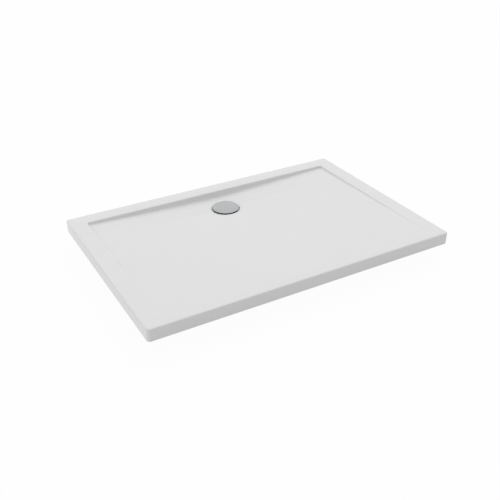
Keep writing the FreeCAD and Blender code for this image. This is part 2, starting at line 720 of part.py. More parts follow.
def make_foot(name, across, along):
    """One screw foot: a plastic pad and the threaded rod that turns in it."""
    pad = turned_body("pad_" + name, [
        (None, None), ("pad_radius", None), ("pad_radius", "pad_edge"),
        ("pad_neck", "pad_top"), ("rod_bore", "pad_top"),
        ("rod_bore", "pad_floor"), (None, "pad_floor")])
    place(pad, across, along)
    finish(pad, "foot_pad_" + name)

    rod = turned_body("rod_" + name, [
        (None, "pad_floor"), ("rod_radius", "pad_floor"), ("rod_radius", "rod_shoulder"),
        ("rod_tip_radius", "rod_end"), (None, "rod_end")])
    add_primitive(rod, "AdditivePrism", "spanner_collar_" + name,
                  {"Circumradius": "collar_circumradius", "Height": "collar_height"},
                  level="collar_bottom")
    place(rod, across, along)
    document.recompute()
    finish(rod, "foot_rod_" + name)


# ---------------------------------------------------------------- the waste
def turned_piece(label, corners):
    """A turned piece that stands on the waste's axis."""
    body = turned_body(label + "_body", corners)
    place(body, along="drain_y")
    document.recompute()
    return finish(body, label)


def make_flange_and_seals():
    """The flange with its threaded neck and the two seals that it squeezes."""
    turned_piece("waste_flange", [
        ("neck_bore", "flange_top"), ("flange_shoulder_radius", "flange_top"),
        ("flange_radius", "flange_shoulder"), ("flange_radius", "flange_bottom"),
        ("neck_radius", "flange_bottom"), ("neck_radius", "neck_bottom"),
        ("ledge_bore", "neck_bottom"), ("ledge_bore", "ledge_top"),
        ("neck_bore", "ledge_top")])
    turned_piece("upper_seal", [
        ("upper_seal_inner", "seat_top"), ("upper_seal_outer", "seat_top"),
        ("upper_seal_outer", "flange_bottom"), ("upper_seal_inner", "flange_bottom")])
    turned_piece("lower_seal", [
        ("lower_seal_inner", "trap_top"), ("lower_seal_outer", "trap_top"),
        ("lower_seal_outer", "seat_under"), ("lower_seal_inner", "seat_under")])


def make_trap():
    """The trap body: a cup with a threaded collar, a weir inside and a ball socket."""
    body = turned_piece("trap_body", [
        (None, "trap_bottom"), ("trap_radius", "trap_bottom"), ("trap_radius", "trap_top"),
        ("collar_bore", "trap_top"), ("collar_bore", "collar_boss_bottom"),
        ("collar_boss_radius", "collar_boss_bottom"), ("collar_boss_radius", "collar_under"),
        ("trap_inner", "collar_under"), ("trap_inner", "trap_floor"),
        ("weir_outer", "trap_floor"), ("weir_outer", "weir_top"),
        ("weir_radius", "weir_top"), ("weir_radius", "trap_floor"), (None, "trap_floor")])
    backwards = Rotation(Vector(1, 0, 0), -90)
    add_primitive(body, "AdditiveCylinder", "outlet_stub",
                  {"Radius": "stub_radius", "Height": "stub_length"},
                  turn=backwards, along="stub_start", level="outlet_level")
    add_primitive(body, "AdditiveCylinder", "ball_socket",
                  {"Radius": "ball_socket_radius", "Height": "socket_length"},
                  turn=backwards, along="socket_start", level="outlet_level")
    add_primitive(body, "SubtractiveCylinder", "outlet_way",
                  {"Radius": "outlet_bore", "Height": "way_length"},
                  turn=backwards, along="bore_start", level="outlet_level")
    add_primitive(body, "SubtractiveSphere", "ball_seat", {"Radius": "ball_seat_radius"},
                  along="outlet_reach", level="outlet_level")


def make_odour_insert():
    """The insert that lifts out: a ring with a dip tube below it, and its round seal."""
    turned_piece("odour_insert", [
        ("insert_bore", "insert_top"), ("insert_ring_radius", "insert_top"),
        ("insert_ring_radius", "groove_top"), ("groove_radius", "groove_top"),
        ("groove_radius", "groove_bottom"), ("insert_ring_radius", "groove_bottom"),
        ("insert_ring_radius", "ledge_top"), ("insert_radius", "ledge_top"),
        ("insert_radius", "insert_foot"), ("insert_bore", "insert_foot")])
    turned_piece("insert_seal_ring", [
        ("groove_radius", "groove_bottom"), ("ring_outer", "groove_bottom"),
        ("ring_outer", "groove_top"), ("groove_radius", "groove_top")])


def make_strainer():
    """The hair strainer: a shallow basket with two rings of holes in its floor."""
    body = turned_piece("hair_strainer", [
        (None, "strainer_bottom"), ("strainer_radius", "strainer_bottom"),
        ("strainer_radius", "insert_top"), ("strainer_rim", "insert_top"),
        ("strainer_rim", "strainer_top"), ("strainer_bore", "strainer_top"),
        ("strainer_bore", "strainer_floor"), (None, "strainer_floor")])
    for ring, count in (("strainer_hole_ring", OUTER_HOLE_COUNT),
                        ("strainer_inner_ring", INNER_HOLE_COUNT)):
        hole = add_primitive(body, "SubtractiveCylinder", ring + "_hole",
                             {"Radius": "strainer_hole_radius", "Height": "strainer_wall"},
                             across=ring, level="strainer_bottom")
        repeat_around(body, hole, ring + "_holes", count)


def make_cover():
    """The chromed cover, and the plastic carrier whose legs stand in the strainer."""
    cover = turned_piece("waste_cover", [
        (None, "cover_under"), ("cover_rim_inner", "cover_under"),
        ("cover_rim_inner", "cover_rim_bottom"), ("cover_radius", "cover_rim_bottom"),
        ("cover_radius", "cover_edge_level"), ("cover_edge_radius", "cover_top"),
        (None, "cover_top")])
    add_primitive(cover, "SubtractiveCylinder", "thumb_notch",
                  {"Radius": "notch_radius", "Height": "cover_rim"},
                  along="notch_place", level="cover_rim_bottom")

    carrier = turned_piece("cover_carrier", [
        (None, "carrier_bottom"), ("carrier_radius", "carrier_bottom"),
        ("carrier_radius", "cover_under"), (None, "cover_under")])
    prop = add_primitive(carrier, "AdditiveCylinder", "carrier_leg",
                         {"Radius": "prop_radius", "Height": "prop_length"},
                         across="prop_ring", level="strainer_floor")
    repeat_around(carrier, prop, "carrier_legs", PROP_COUNT)


def outlet_piece(label, corners):
    """A turned piece on the outlet's axis, measured from the middle of the ball."""
    body = turned_body(label + "_body", corners)
    body.Placement = Placement(Vector(0, 0, 0), Rotation(Vector(1, 0, 0), -90))
    place(body, along="ball_y", level="outlet_level")
    document.recompute()
    return finish(body, label)


def make_outlet():
    """The outlet pipe on its ball, the seal behind the ball and the union nut."""
    pipe = outlet_piece("outlet_pipe", [
        ("pipe_bore", None), ("pipe_radius", None),
        ("pipe_radius", "pipe_length"), ("pipe_bore", "pipe_length")])
    add_primitive(pipe, "AdditiveSphere", "pipe_ball", {"Radius": "ball_radius"})
    add_primitive(pipe, "SubtractiveCylinder", "pipe_water_way",
                  {"Radius": "pipe_bore", "Height": "water_way_length"},
                  level="water_way_start")

    seal = outlet_piece("outlet_seal", [
        ("outlet_seal_inner", "outlet_seal_start"), ("outlet_seal_outer", "outlet_seal_start"),
        ("outlet_seal_outer", "outlet_seal_end"), ("outlet_seal_inner", "outlet_seal_end")])
    add_primitive(seal, "SubtractiveSphere", "seal_seat", {"Radius": "ball_seat_radius"})

    union = outlet_piece("union_nut", [
        ("union_bore", "union_front"), ("union_radius", "union_front"),
        ("union_radius", "union_end"), ("union_lip_bore", "union_end"),
        ("union_lip_bore", "union_shoulder"), ("union_bore", "union_shoulder")])
    flute = add_primitive(union, "SubtractiveCylinder", "grip_flute",
                          {"Radius": "union_flute_radius", "Height": "union_length"},
                          across="flute_place", level="union_front")
    repeat_around(union, flute, "grip_flutes", FLUTE_COUNT)


# ---------------------------------------------------------------- build and write
def check_document():
    """Stop if a feature failed, or a finished piece isn't a valid solid."""
    for item in document.Objects:
        bad = [state for state in item.State if state in ("Invalid", "Error")]
        if bad:
            raise RuntimeError("%s: %s" % (item.Name, bad))
    for piece in finished:
        shape = piece.Shape
        if shape.isNull() or not shape.isValid() or not shape.Solids:
            raise RuntimeError("%s has no valid solid" % piece.Label)


def write_pieces():
    """Write each finished piece to its own file."""
    os.makedirs("parts", exist_ok=True)
    for piece in finished:
        piece.Shape.exportStep(os.path.join("parts", piece.Label + ".step"))
        box = piece.Shape.optimalBoundingBox(False, False)
        print("%-24s solids %2d  volume %10.0f  x %8.2f %8.2f  y %8.2f %8.2f  z %7.2f %7.2f" % (
            piece.Label, len(piece.Shape.Solids), piece.Shape.Volume,
            box.XMin, box.XMax, box.YMin, box.YMax, box.ZMin, box.ZMax))


def main():
    """Build every piece, check them and write them."""
    fill_sheet()
    make_tray()
    make_base_board()
    for label, across, middle, length, screws in RAILS:
        make_rail(label, across, middle, length, screws)
    make_nuts()
    make_rail_screws()
    for name, _rail, across, along in FEET:
        make_foot(name, across, along)
    make_flange_and_seals()
    make_trap()
    make_odour_insert()
    make_strainer()
    make_cover()
    make_outlet()
    document.recompute()
    check_document()
    write_pieces()


main()
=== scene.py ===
import json
import logging
import math
from contextlib import contextmanager
from dataclasses import dataclass, field
from enum import Enum
from typing import Callable, Iterator, Sequence

import bmesh
import bpy
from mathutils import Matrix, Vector

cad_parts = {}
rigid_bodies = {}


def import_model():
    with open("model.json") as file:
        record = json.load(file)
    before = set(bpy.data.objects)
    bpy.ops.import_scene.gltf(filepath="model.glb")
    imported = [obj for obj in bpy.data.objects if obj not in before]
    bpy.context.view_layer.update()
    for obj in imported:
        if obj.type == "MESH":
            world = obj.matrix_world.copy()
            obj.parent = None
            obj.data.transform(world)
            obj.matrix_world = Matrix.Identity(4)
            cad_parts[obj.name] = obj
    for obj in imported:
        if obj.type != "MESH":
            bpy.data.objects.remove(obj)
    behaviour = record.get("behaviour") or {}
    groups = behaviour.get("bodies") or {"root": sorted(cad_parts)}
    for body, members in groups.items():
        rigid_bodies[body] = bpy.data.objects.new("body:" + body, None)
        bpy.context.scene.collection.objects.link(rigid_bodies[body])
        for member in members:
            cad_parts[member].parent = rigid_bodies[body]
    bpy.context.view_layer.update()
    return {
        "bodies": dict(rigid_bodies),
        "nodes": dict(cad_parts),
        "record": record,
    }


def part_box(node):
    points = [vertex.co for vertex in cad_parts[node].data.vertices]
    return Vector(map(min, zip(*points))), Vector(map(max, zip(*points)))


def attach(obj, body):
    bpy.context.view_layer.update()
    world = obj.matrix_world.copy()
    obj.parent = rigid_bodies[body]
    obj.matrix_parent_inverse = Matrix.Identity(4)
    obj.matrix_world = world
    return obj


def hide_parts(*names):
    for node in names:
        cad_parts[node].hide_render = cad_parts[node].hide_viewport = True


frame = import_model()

# A low white shower tray on screw feet, dressed over its frame. Sizes are in metres.
#
# The tray's shell, its waste cover and flange and its feet are modelled here in full.
# Every other piece keeps its frame shape and gets a finish of its own.

log = logging.getLogger("shower_tray")
logging.basicConfig(level=logging.INFO, format="%(message)s")

MM = 0.001


# ---------------------------------------------------------------- bench work
def deselect_all() -> None:
    """Leave edit mode and select nothing."""
    if bpy.context.mode != "OBJECT":
        bpy.ops.object.mode_set(mode="OBJECT")
    bpy.ops.object.select_all(action="DESELECT")


def take_up(piece: bpy.types.Object) -> None:
    """Make one piece the only selected and the active one.

    Args:
        piece: The piece to work on.
    """
    deselect_all()
    piece.select_set(True)
    bpy.context.view_layer.objects.active = piece


@contextmanager
def editing(piece: bpy.types.Object) -> Iterator[None]:
    """Work on one piece in edit mode, where points are picked first.

    Args:
        piece: The piece to work on.
    """
    take_up(piece)
    bpy.ops.object.mode_set(mode="EDIT")
    bpy.ops.mesh.select_mode(type="VERT")
    yield
    bpy.ops.object.mode_set(mode="OBJECT")


class Part(Enum):
    """What a selection picks."""

    VERTICES = "VERT"
    EDGES = "EDGE"
    FACES = "FACE"


def pick(piece: bpy.types.Object, part: Part, test: Callable[..., bool]) -> int:
    """Select the vertices, edges or faces that pass a test. The piece is in edit mode.

    Args:
        piece: The piece that is being edited.
        part: What to pick.
        test: Says whether one of them is picked.

    Returns:
        How many were picked.
    """
    bpy.ops.mesh.select_mode(type=part.value)
    bpy.ops.mesh.select_all(action="DESELECT")
    shape = bmesh.from_edit_mesh(piece.data)
    kind = {Part.VERTICES: shape.verts, Part.EDGES: shape.edges, Part.FACES: shape.faces}[part]
    picked = [item for item in kind if test(item)]
    for item in picked:
        item.select_set(True)
    shape.select_flush_mode()
    bmesh.update_edit_mesh(piece.data)
    return len(picked)


def tidy_shell(piece: bpy.types.Object, gap: float = 0.01 * MM) -> None:
    """Merge doubles and turn the faces outwards.

    Args:
        piece: The piece to tidy.
        gap: Points closer than this become one.
    """
    with editing(piece):
        bpy.ops.mesh.select_all(action="SELECT")
        bpy.ops.mesh.remove_doubles(threshold=gap)
        bpy.ops.mesh.normals_make_consistent(inside=False)


def smooth(piece: bpy.types.Object, degrees: float = 35.0) -> None:
    """Shade a piece smooth, with creases sharper than an angle left sharp.

    Args:
        piece: The piece to shade.
        degrees: The angle.
    """
    take_up(piece)
    bpy.ops.object.shade_smooth_by_angle(angle=math.radians(degrees))


def named(name: str) -> bpy.types.Object:
    """Name the piece that was just added, and its mesh.

    Args:
        name: The new name.

    Returns:
        The piece.
    """
    piece = bpy.context.active_object
    piece.name = name
    piece.data.name = name
    return piece


@dataclass(frozen=True)
class Corner:
    """A corner of a turned outline: its radius, its level and how round it is."""

    radius: float
    level: float
    round: float = 0.0


def soften(corners: Sequence[Corner], closed: bool, steps: int = 4) -> list[tuple[float, float]]:
    """Round the corners of an outline.

    Args:
        corners: The outline's corners in order.
        closed: Whether the last corner joins the first.
        steps: Points along each round corner.

    Returns:
        Pairs of radius and level.
    """
    outline: list[tuple[float, float]] = []
    count = len(corners)
    for index, corner in enumerate(corners):
        here = Vector((corner.radius, corner.level))
        at_end = not closed and index in (0, count - 1)
        if corner.round <= 0 or at_end:
            outline.append((here.x, here.y))
            continue
        before = corners[index - 1]
        after = corners[(index + 1) % count]
        back = (Vector((before.radius, before.level)) - here).normalized()
        ahead = (Vector((after.radius, after.level)) - here).normalized()
        half = back.angle(ahead) / 2
        reach = corner.round / math.tan(half)
        middle = here + (back + ahead).normalized() * (corner.round / math.sin(half))
        start = here + back * reach - middle
        end = here + ahead * reach - middle
        turn = start.angle_signed(end)
        for step in range(steps + 1):
            angle = -turn * step / steps
            x = start.x * math.cos(angle) - start.y * math.sin(angle)
            y = start.x * math.sin(angle) + start.y * math.cos(angle)
            outline.append((middle.x + x, middle.y + y))
    return outline


def turned(name: str, corners: Sequence[Corner], axis: Vector, closed: bool = False,
           steps: int = 96) -> bpy.types.Object:
    """Turn an outline around an upright axis by extruding a point and spinning its line.

    Args:
        name: The piece's name.
        corners: The outline's corners.
        axis: A point on the axis.
        closed: Whether the outline closes on itself, as a ring's does.
        steps: Steps around the axis.

    Returns:
        The turned piece.
    """
    outline = soften(corners, closed)
    deselect_all()
    bpy.ops.mesh.primitive_plane_add(size=MM)
    piece = named(name)
    with editing(piece):
        bpy.ops.mesh.select_all(action="SELECT")
        bpy.ops.mesh.merge(type="CENTER")
        first = outline[0]
        bpy.ops.transform.translate(value=(axis.x + first[0], axis.y, first[1]))
        for before, after in zip(outline, outline[1:]):
            step = (after[0] - before[0], 0.0, after[1] - before[1])
            bpy.ops.mesh.extrude_region_move(TRANSFORM_OT_translate={"value": step})
        if closed:
            ends = (outline[0], outline[-1])
            pick(piece, Part.VERTICES, lambda vertex: any(
                math.hypot(vertex.co.x - axis.x - end[0], vertex.co.z - end[1]) < 0.001 * MM
                for end in ends))
            bpy.ops.mesh.edge_face_add()
        bpy.ops.mesh.select_all(action="SELECT")
        bpy.ops.mesh.spin(steps=steps, angle=2 * math.pi, center=(axis.x, axis.y, 0.0),
                          axis=(0.0, 0.0, 1.0))
    tidy_shell(piece)
    smooth(piece)
    return piece


def apply_modifier(piece: bpy.types.Object, kind: str, **settings: object) -> None:
    """Add a modifier, set it and apply it.

    Args:
        piece: The piece to change.
        kind: Blender's name for the modifier.
        settings: Its settings.
    """
    take_up(piece)
    modifier = piece.modifiers.new(kind.lower(), kind)
    for setting, value in settings.items():
        setattr(modifier, setting, value)
    bpy.ops.object.modifier_apply(modifier=modifier.name)


def fit_piece(piece: bpy.types.Object, body: str, node: str, finish: "Finish") -> None:
    """Put a finished piece in a node's place, with its finish.

    Args:
        piece: The finished piece.
        body: The body that it rides on.
        node: The node that it stands for.
        finish: Its finish.
    """
    piece.data.materials.clear()
    piece.data.materials.append(finish.material())
    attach(piece, body)
    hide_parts(node)
    log.info("%s: %d faces, rides on %s", piece.name, len(piece.data.polygons), body)


# ---------------------------------------------------------------- shader maths
class Signal:
    """A shader socket that takes part in arithmetic."""

    def __init__(self, graph: "Nodes", socket: bpy.types.NodeSocket) -> None:
        """Wrap a socket of a graph."""
        self.graph = graph
        self.socket = socket

    def _combine(self, operation: str, first: object, second: object) -> "Signal":
        """Add one Math node."""
        node = self.graph.add("ShaderNodeMath", {"operation": operation}, {0: first, 1: second})
        return Signal(self.graph, node.outputs[0])

    def __add__(self, other: object) -> "Signal":
        """This plus another."""
        return self._combine("ADD", self, other)

    __radd__ = __add__

    def __sub__(self, other: object) -> "Signal":
        """This less another."""
        return self._combine("SUBTRACT", self, other)

    def __rsub__(self, other: object) -> "Signal":
        """Another less this."""
        return self._combine("SUBTRACT", other, self)

    def __mul__(self, other: object) -> "Signal":
        """This times another."""
        return self._combine("MULTIPLY", self, other)

    __rmul__ = __mul__

    def __gt__(self, other: object) -> "Signal":
        """1 where this is more than another, else 0."""
        return self._combine("GREATER_THAN", self, other)


class Nodes:
    """A node tree, built up one node at a time."""

    def __init__(self, tree: bpy.types.NodeTree) -> None:
        """Start with an empty tree."""
        self.tree = tree
        self.tree.nodes.clear()

    def add(self, kind: str, settings: dict | None = None,
            inputs: dict | None = None) -> bpy.types.Node:
        """Add a node, set it and feed it.

        Args:
            kind: The node's type.
            settings: Its settings, which are set first.
            inputs: Values or signals for its sockets.

        Returns:
            The node.
        """
        node = self.tree.nodes.new(kind)
        for setting, value in (settings or {}).items():
            if setting == "stops":
                self._set_stops(node, value)
            else:
                setattr(node, setting, value)
        for socket, value in (inputs or {}).items():
            self.feed(node, socket, value)
        return node

    def feed(self, node: bpy.types.Node, socket: str | int, value: object) -> None:
        """Set one socket of a node to a value, or link it to a signal.

        Args:
            node: The node.
            socket: The socket's name or number.
            value: A value or a signal.
        """
        target = node.inputs[socket]
        if isinstance(value, Signal):
            self.tree.links.new(value.socket, target)
        else:
            target.default_value = value

    @staticmethod
    def _set_stops(node: bpy.types.Node, stops: Sequence[tuple[float, tuple]]) -> None:
        """Set a colour ramp's stops."""
        elements = node.color_ramp.elements
        while len(elements) < len(stops):
            elements.new(0.5)
        for element, (place, colour) in zip(elements, stops):
            element.position = place
            element.color = (*colour, 1.0)

    def shown(self) -> Signal:
        """1 for what is seen straight, mirrored or through glass, else 0."""
        rays = self.add("ShaderNodeLightPath")
        return (Signal(self, rays.outputs["Is Camera Ray"])
                + Signal(self, rays.outputs["Is Glossy Ray"])
                + Signal(self, rays.outputs["Is Transmission Ray"])) > 0.5


class Graph(Nodes):
    """The nodes of one material."""

    def __init__(self, name: str) -> None:
        """Start a material with a Principled shader."""
        self.material = bpy.data.materials.new(name)
        self.material.use_nodes = True
        super().__init__(self.material.node_tree)
        self.shader = self.add("ShaderNodeBsdfPrincipled")
        self.output = self.add("ShaderNodeOutputMaterial", {}, {
            "Surface": Signal(self, self.shader.outputs[0])})
        self.place = Signal(self, self.add("ShaderNodeTexCoord").outputs["Object"])

    def noise(self, per_metre: float, detail: float = 3.0, stretch: Vector | None = None) -> Signal:
        """A noise over the piece.

        Args:
            per_metre: How many swells there are in a metre.
            detail: How much fine structure it has.
            stretch: How much finer the noise is along each axis.

        Returns:
            The noise, around 0.5.
        """
        place = self.place if stretch is None else self.stretched(stretch)
        node = self.add("ShaderNodeTexNoise", {}, {
            "Vector": place, "Scale": per_metre, "Detail": detail})
        return Signal(self, node.outputs["Fac"])

    def stretched(self, stretch: Vector) -> Signal:
        """The place on the piece, made finer along some axes."""
        node = self.add("ShaderNodeMapping", {}, {"Vector": self.place, "Scale": stretch})
        return Signal(self, node.outputs[0])

    def cells(self, per_metre: float, output: str = "Distance",
              stretch: Vector | None = None) -> Signal:
        """A pattern of cells over the piece.

        Args:
            per_metre: How many cells there are in a metre.
            output: Which output of the pattern to take.
            stretch: How much finer the cells are along each axis.

        Returns:
            The pattern.
        """
        place = self.place if stretch is None else self.stretched(stretch)
        node = self.add("ShaderNodeTexVoronoi", {}, {"Vector": place, "Scale": per_metre})
        return Signal(self, node.outputs[output])

    def ramp(self, signal: Signal, stops: Sequence[tuple[float, tuple]]) -> Signal:
        """Colour a signal by a ramp."""
        node = self.add("ShaderNodeValToRGB", {"stops": stops}, {"Fac": signal})
        return Signal(self, node.outputs["Color"])

    def remap(self, signal: Signal, low: float, high: float, into: tuple[float, float]) -> Signal:
        """Stretch the part of a signal between two values over a range.

        Args:
            signal: The signal.
            low: Where the range starts.
            high: Where it ends.
            into: The range's two ends.

        Returns:
            The stretched signal, held inside the range.
        """
        node = self.add("ShaderNodeMapRange", {}, {
            "Value": signal, "From Min": low, "From Max": high,
            "To Min": into[0], "To Max": into[1]})
        return Signal(self, node.outputs[0])

    def blend(self, amount: Signal, first: object, second: object) -> Signal:
        """Mix two colours by an amount."""
        node = self.add("ShaderNodeMix", {"data_type": "RGBA"}, {0: amount, 6: first, 7: second})
        return Signal(self, node.outputs[2])

    def relief(self, height: Signal, depth: float, strength: float = 1.0) -> None:
        """Give the surface relief.

        Args:
            height: The height, from 0 to 1.
            depth: How far a height of 1 stands up, in metres.
            strength: How strongly it shows.
        """
        node = self.add("ShaderNodeBump", {}, {
            "Strength": strength, "Distance": depth, "Height": height})
        self.feed(self.shader, "Normal", Signal(self, node.outputs[0]))


Colour = tuple[float, float, float]


def rgba(colour: Colour) -> tuple[float, float, float, float]:
    """A colour with full cover."""
    return (*colour, 1.0)


# ---------------------------------------------------------------- finishes
@dataclass(frozen=True)
class Finish:
    """A surface: its name, its colour and how rough it is."""

    name: str
    colour: Colour
    roughness: float

    def material(self) -> bpy.types.Material:
        """The finish as a material, made once.

        Returns:
            The material.
        """
        made = bpy.data.materials.get(self.name)
        if made is not None:
            return made
        graph = Graph(self.name)
        graph.feed(graph.shader, "Base Color", rgba(self.colour))
        self.dress(graph)
        return graph.material

    def dress(self, graph: Graph) -> None:
        """Add what is special about this finish."""
        raise NotImplementedError

    def shade(self, graph: Graph, pattern: Signal, low: float, high: float,
              spread: float) -> None:
        """Vary the finish's brightness by a pattern, from 1 - spread to 1 + spread.

        Args:
            graph: The material's nodes.
            pattern: The pattern.
            low: The pattern's value where the colour is darkest.
            high: Its value where the colour is lightest.
            spread: How much it varies.
        """
        dark = rgba(tuple(part * (1 - spread) for part in self.colour))
        light = rgba(tuple(min(1.0, part * (1 + spread)) for part in self.colour))
        amount = graph.remap(pattern, low, high, (0.0, 1.0))
        graph.feed(graph.shader, "Base Color", graph.blend(amount, dark, light))


@dataclass(frozen=True)
class GlossAcrylic(Finish):
    """Thermoformed sanitary acrylic: glossy, with a faint drawn unevenness."""

    ripple: float = 0.02 * MM

    def dress(self, graph: Graph) -> None:
        """Vary the gloss a little, and add the sheet's long ripple."""
        clouds = graph.noise(9.0, 4.0)
        haze = graph.noise(70.0, 5.0)
        gloss = graph.remap(clouds * 0.6 + haze * 0.4, 0.35, 0.65,
                            (self.roughness * 0.8, self.roughness * 1.25))
        graph.feed(graph.shader, "Roughness", gloss)
        self.shade(graph, clouds, 0.3, 0.7, 0.006)
        graph.feed(graph.shader, "IOR", 1.49)
        graph.relief(graph.noise(22.0, 2.0) * 0.8 + graph.noise(420.0, 1.0) * 0.2, self.ripple)


@dataclass(frozen=True)
class ChromePlate(Finish):
    """Chrome plate with water marks and fine wiping scratches."""

    def dress(self, graph: Graph) -> None:
        """Make it metal and vary its polish."""
        graph.feed(graph.shader, "Metallic", 1.0)
        marks = graph.noise(55.0, 5.0)
        wipes = graph.noise(60.0, 3.0, Vector((1.0, 14.0, 1.0)))
        polish = graph.remap(marks * 0.5 + wipes * 0.5, 0.35, 0.65,
                             (self.roughness * 0.7, self.roughness * 1.4))
        graph.feed(graph.shader, "Roughness", polish)
        self.shade(graph, marks, 0.35, 0.65, 0.02)
        graph.relief(wipes, 0.004 * MM)


@dataclass(frozen=True)
class SpangledSteel(Finish):
    """Hot-dip galvanised steel with its crystal spangle."""

    def dress(self, graph: Graph) -> None:
        """Give each crystal its own tone and polish."""
        graph.feed(graph.shader, "Metallic", 0.9)
        crystal = graph.cells(150.0, "Color")
        split = graph.add("ShaderNodeSeparateColor", {}, {"Color": crystal})
        tone = Signal(graph, split.outputs[0])
        self.shade(graph, tone, 0.0, 1.0, 0.16)
        grain = graph.noise(900.0, 3.0)
        rough = graph.remap(tone * 0.7 + grain * 0.3, 0.1, 0.9,
                            (self.roughness * 0.75, self.roughness * 1.25))
        graph.feed(graph.shader, "Roughness", rough)
        graph.relief(tone * 0.3 + grain * 0.7, 0.03 * MM)


@dataclass(frozen=True)
class ZincPlate(Finish):
    """Bright zinc plate on turned steel, duller where fingers were."""

    def dress(self, graph: Graph) -> None:
        """Add turning marks and dull patches."""
        graph.feed(graph.shader, "Metallic", 1.0)
        dull = graph.noise(120.0, 4.0)
        lines = graph.noise(40.0, 2.0, Vector((1.0, 1.0, 60.0)))
        rough = graph.remap(dull, 0.35, 0.65, (self.roughness * 0.8, self.roughness * 1.35))
        graph.feed(graph.shader, "Roughness", rough)
        self.shade(graph, dull, 0.3, 0.7, 0.06)
        graph.relief(lines, 0.01 * MM)


@dataclass(frozen=True)
class Chipboard(Finish):
    """Raw chipboard: pressed chips of many browns."""

    pale: Colour = (0.66, 0.50, 0.32)
    dark: Colour = (0.33, 0.21, 0.11)

    def dress(self, graph: Graph) -> None:
        """Scatter long chips over fine dust."""
        long_chips = graph.cells(170.0, "Color", Vector((1.0, 2.6, 1.6)))
        cross_chips = graph.cells(260.0, "Color", Vector((2.4, 1.0, 1.3)))
        first = Signal(graph, graph.add("ShaderNodeSeparateColor", {},
                                        {"Color": long_chips}).outputs[0])
        second = Signal(graph, graph.add("ShaderNodeSeparateColor", {},
                                         {"Color": cross_chips}).outputs[1])
        dust = graph.noise(1400.0, 3.0)
        tone = first * 0.45 + second * 0.35 + dust * 0.2
        colour = graph.ramp(tone, ((0.1, self.dark), (0.45, self.colour), (0.85, self.pale)))
        graph.feed(graph.shader, "Base Color", colour)
        rough = graph.remap(dust, 0.3, 0.7, (self.roughness * 0.9, self.roughness * 1.05))
        graph.feed(graph.shader, "Roughness", rough)
        graph.relief(tone, 0.15 * MM)


@dataclass(frozen=True)
class SprayedFibre(Finish):
    """Chopped glass strands in cured resin."""

    def dress(self, graph: Graph) -> None:
        """Lay strands two ways over lumpy resin."""
        along = graph.noise(90.0, 3.0, Vector((1.0, 9.0, 3.0)))
        across = graph.noise(90.0, 3.0, Vector((9.0, 1.0, 3.0)))
        lumps = graph.noise(60.0, 2.0)
        strands = along * 0.5 + across * 0.5
        self.shade(graph, strands, 0.35, 0.65, 0.14)
        rough = graph.remap(lumps, 0.3, 0.7, (self.roughness * 0.7, self.roughness * 1.1))
        graph.feed(graph.shader, "Roughness", rough)
        graph.relief(strands * 0.6 + lumps * 0.4, 0.4 * MM)


@dataclass(frozen=True)
class CutFoam(Finish):
    """Hard foam with open cells."""

    def dress(self, graph: Graph) -> None:
        """Add cells and a yellowed tone."""
        cells = graph.cells(900.0)
        clouds = graph.noise(14.0, 3.0)
        self.shade(graph, clouds, 0.3, 0.7, 0.08)
        rough = graph.remap(cells, 0.0, 0.6, (self.roughness, 1.0))
        graph.feed(graph.shader, "Roughness", rough)
        graph.relief(cells, 0.3 * MM)


@dataclass(frozen=True)
class MouldedPlastic(Finish):
    """Moulded plastic with a fine spark-eroded grain."""

    grain_per_metre: float = 1500.0

    def dress(self, graph: Graph) -> None:
        """Add the grain, flow marks and a scuffed gloss."""
        grain = graph.noise(self.grain_per_metre, 2.0)
        flow = graph.noise(45.0, 3.0)
        self.shade(graph, flow, 0.3, 0.7, 0.04)
        rough = graph.remap(flow, 0.3, 0.7, (self.roughness * 0.85, self.roughness * 1.15))
        graph.feed(graph.shader, "Roughness", rough)
        graph.relief(grain, 0.03 * MM)


@dataclass(frozen=True)
class SealRubber(Finish):
    """Black seal rubber with a dusty bloom."""

    def dress(self, graph: Graph) -> None:
        """Add the bloom."""
        bloom = graph.noise(160.0, 4.0)
        self.shade(graph, bloom, 0.4, 0.7, 0.3)
        rough = graph.remap(bloom, 0.3, 0.7, (self.roughness * 0.85, self.roughness * 1.1))
        graph.feed(graph.shader, "Roughness", rough)
        graph.relief(bloom, 0.05 * MM)


FINISHES: dict[str, Finish] = {
    "white_acrylic": GlossAcrylic("gloss_acrylic", (0.80, 0.80, 0.80), 0.16),
    "chrome_plate": ChromePlate("wiped_chrome", (0.47, 0.48, 0.49), 0.16),
    "galvanised_steel": SpangledSteel("spangled_steel", (0.52, 0.54, 0.56), 0.42),
    "zinc_plated_steel": ZincPlate("bright_zinc", (0.62, 0.63, 0.65), 0.28),
    "chipboard": Chipboard("pressed_chipboard", (0.52, 0.37, 0.21), 0.85),
    "fibreglass": SprayedFibre("sprayed_fibre", (0.62, 0.60, 0.48), 0.5),
    "foam": CutFoam("cut_foam", (0.78, 0.68, 0.40), 0.9),
    "black_plastic": MouldedPlastic("black_polyamide", (0.025, 0.025, 0.028), 0.5),
    "white_polypropylene": MouldedPlastic("white_polypropylene", (0.72, 0.72, 0.70), 0.45),
    "grey_polypropylene": MouldedPlastic("grey_polypropylene", (0.22, 0.23, 0.24), 0.45),
    "black_rubber": SealRubber("seal_rubber", (0.02, 0.02, 0.02), 0.75),
}


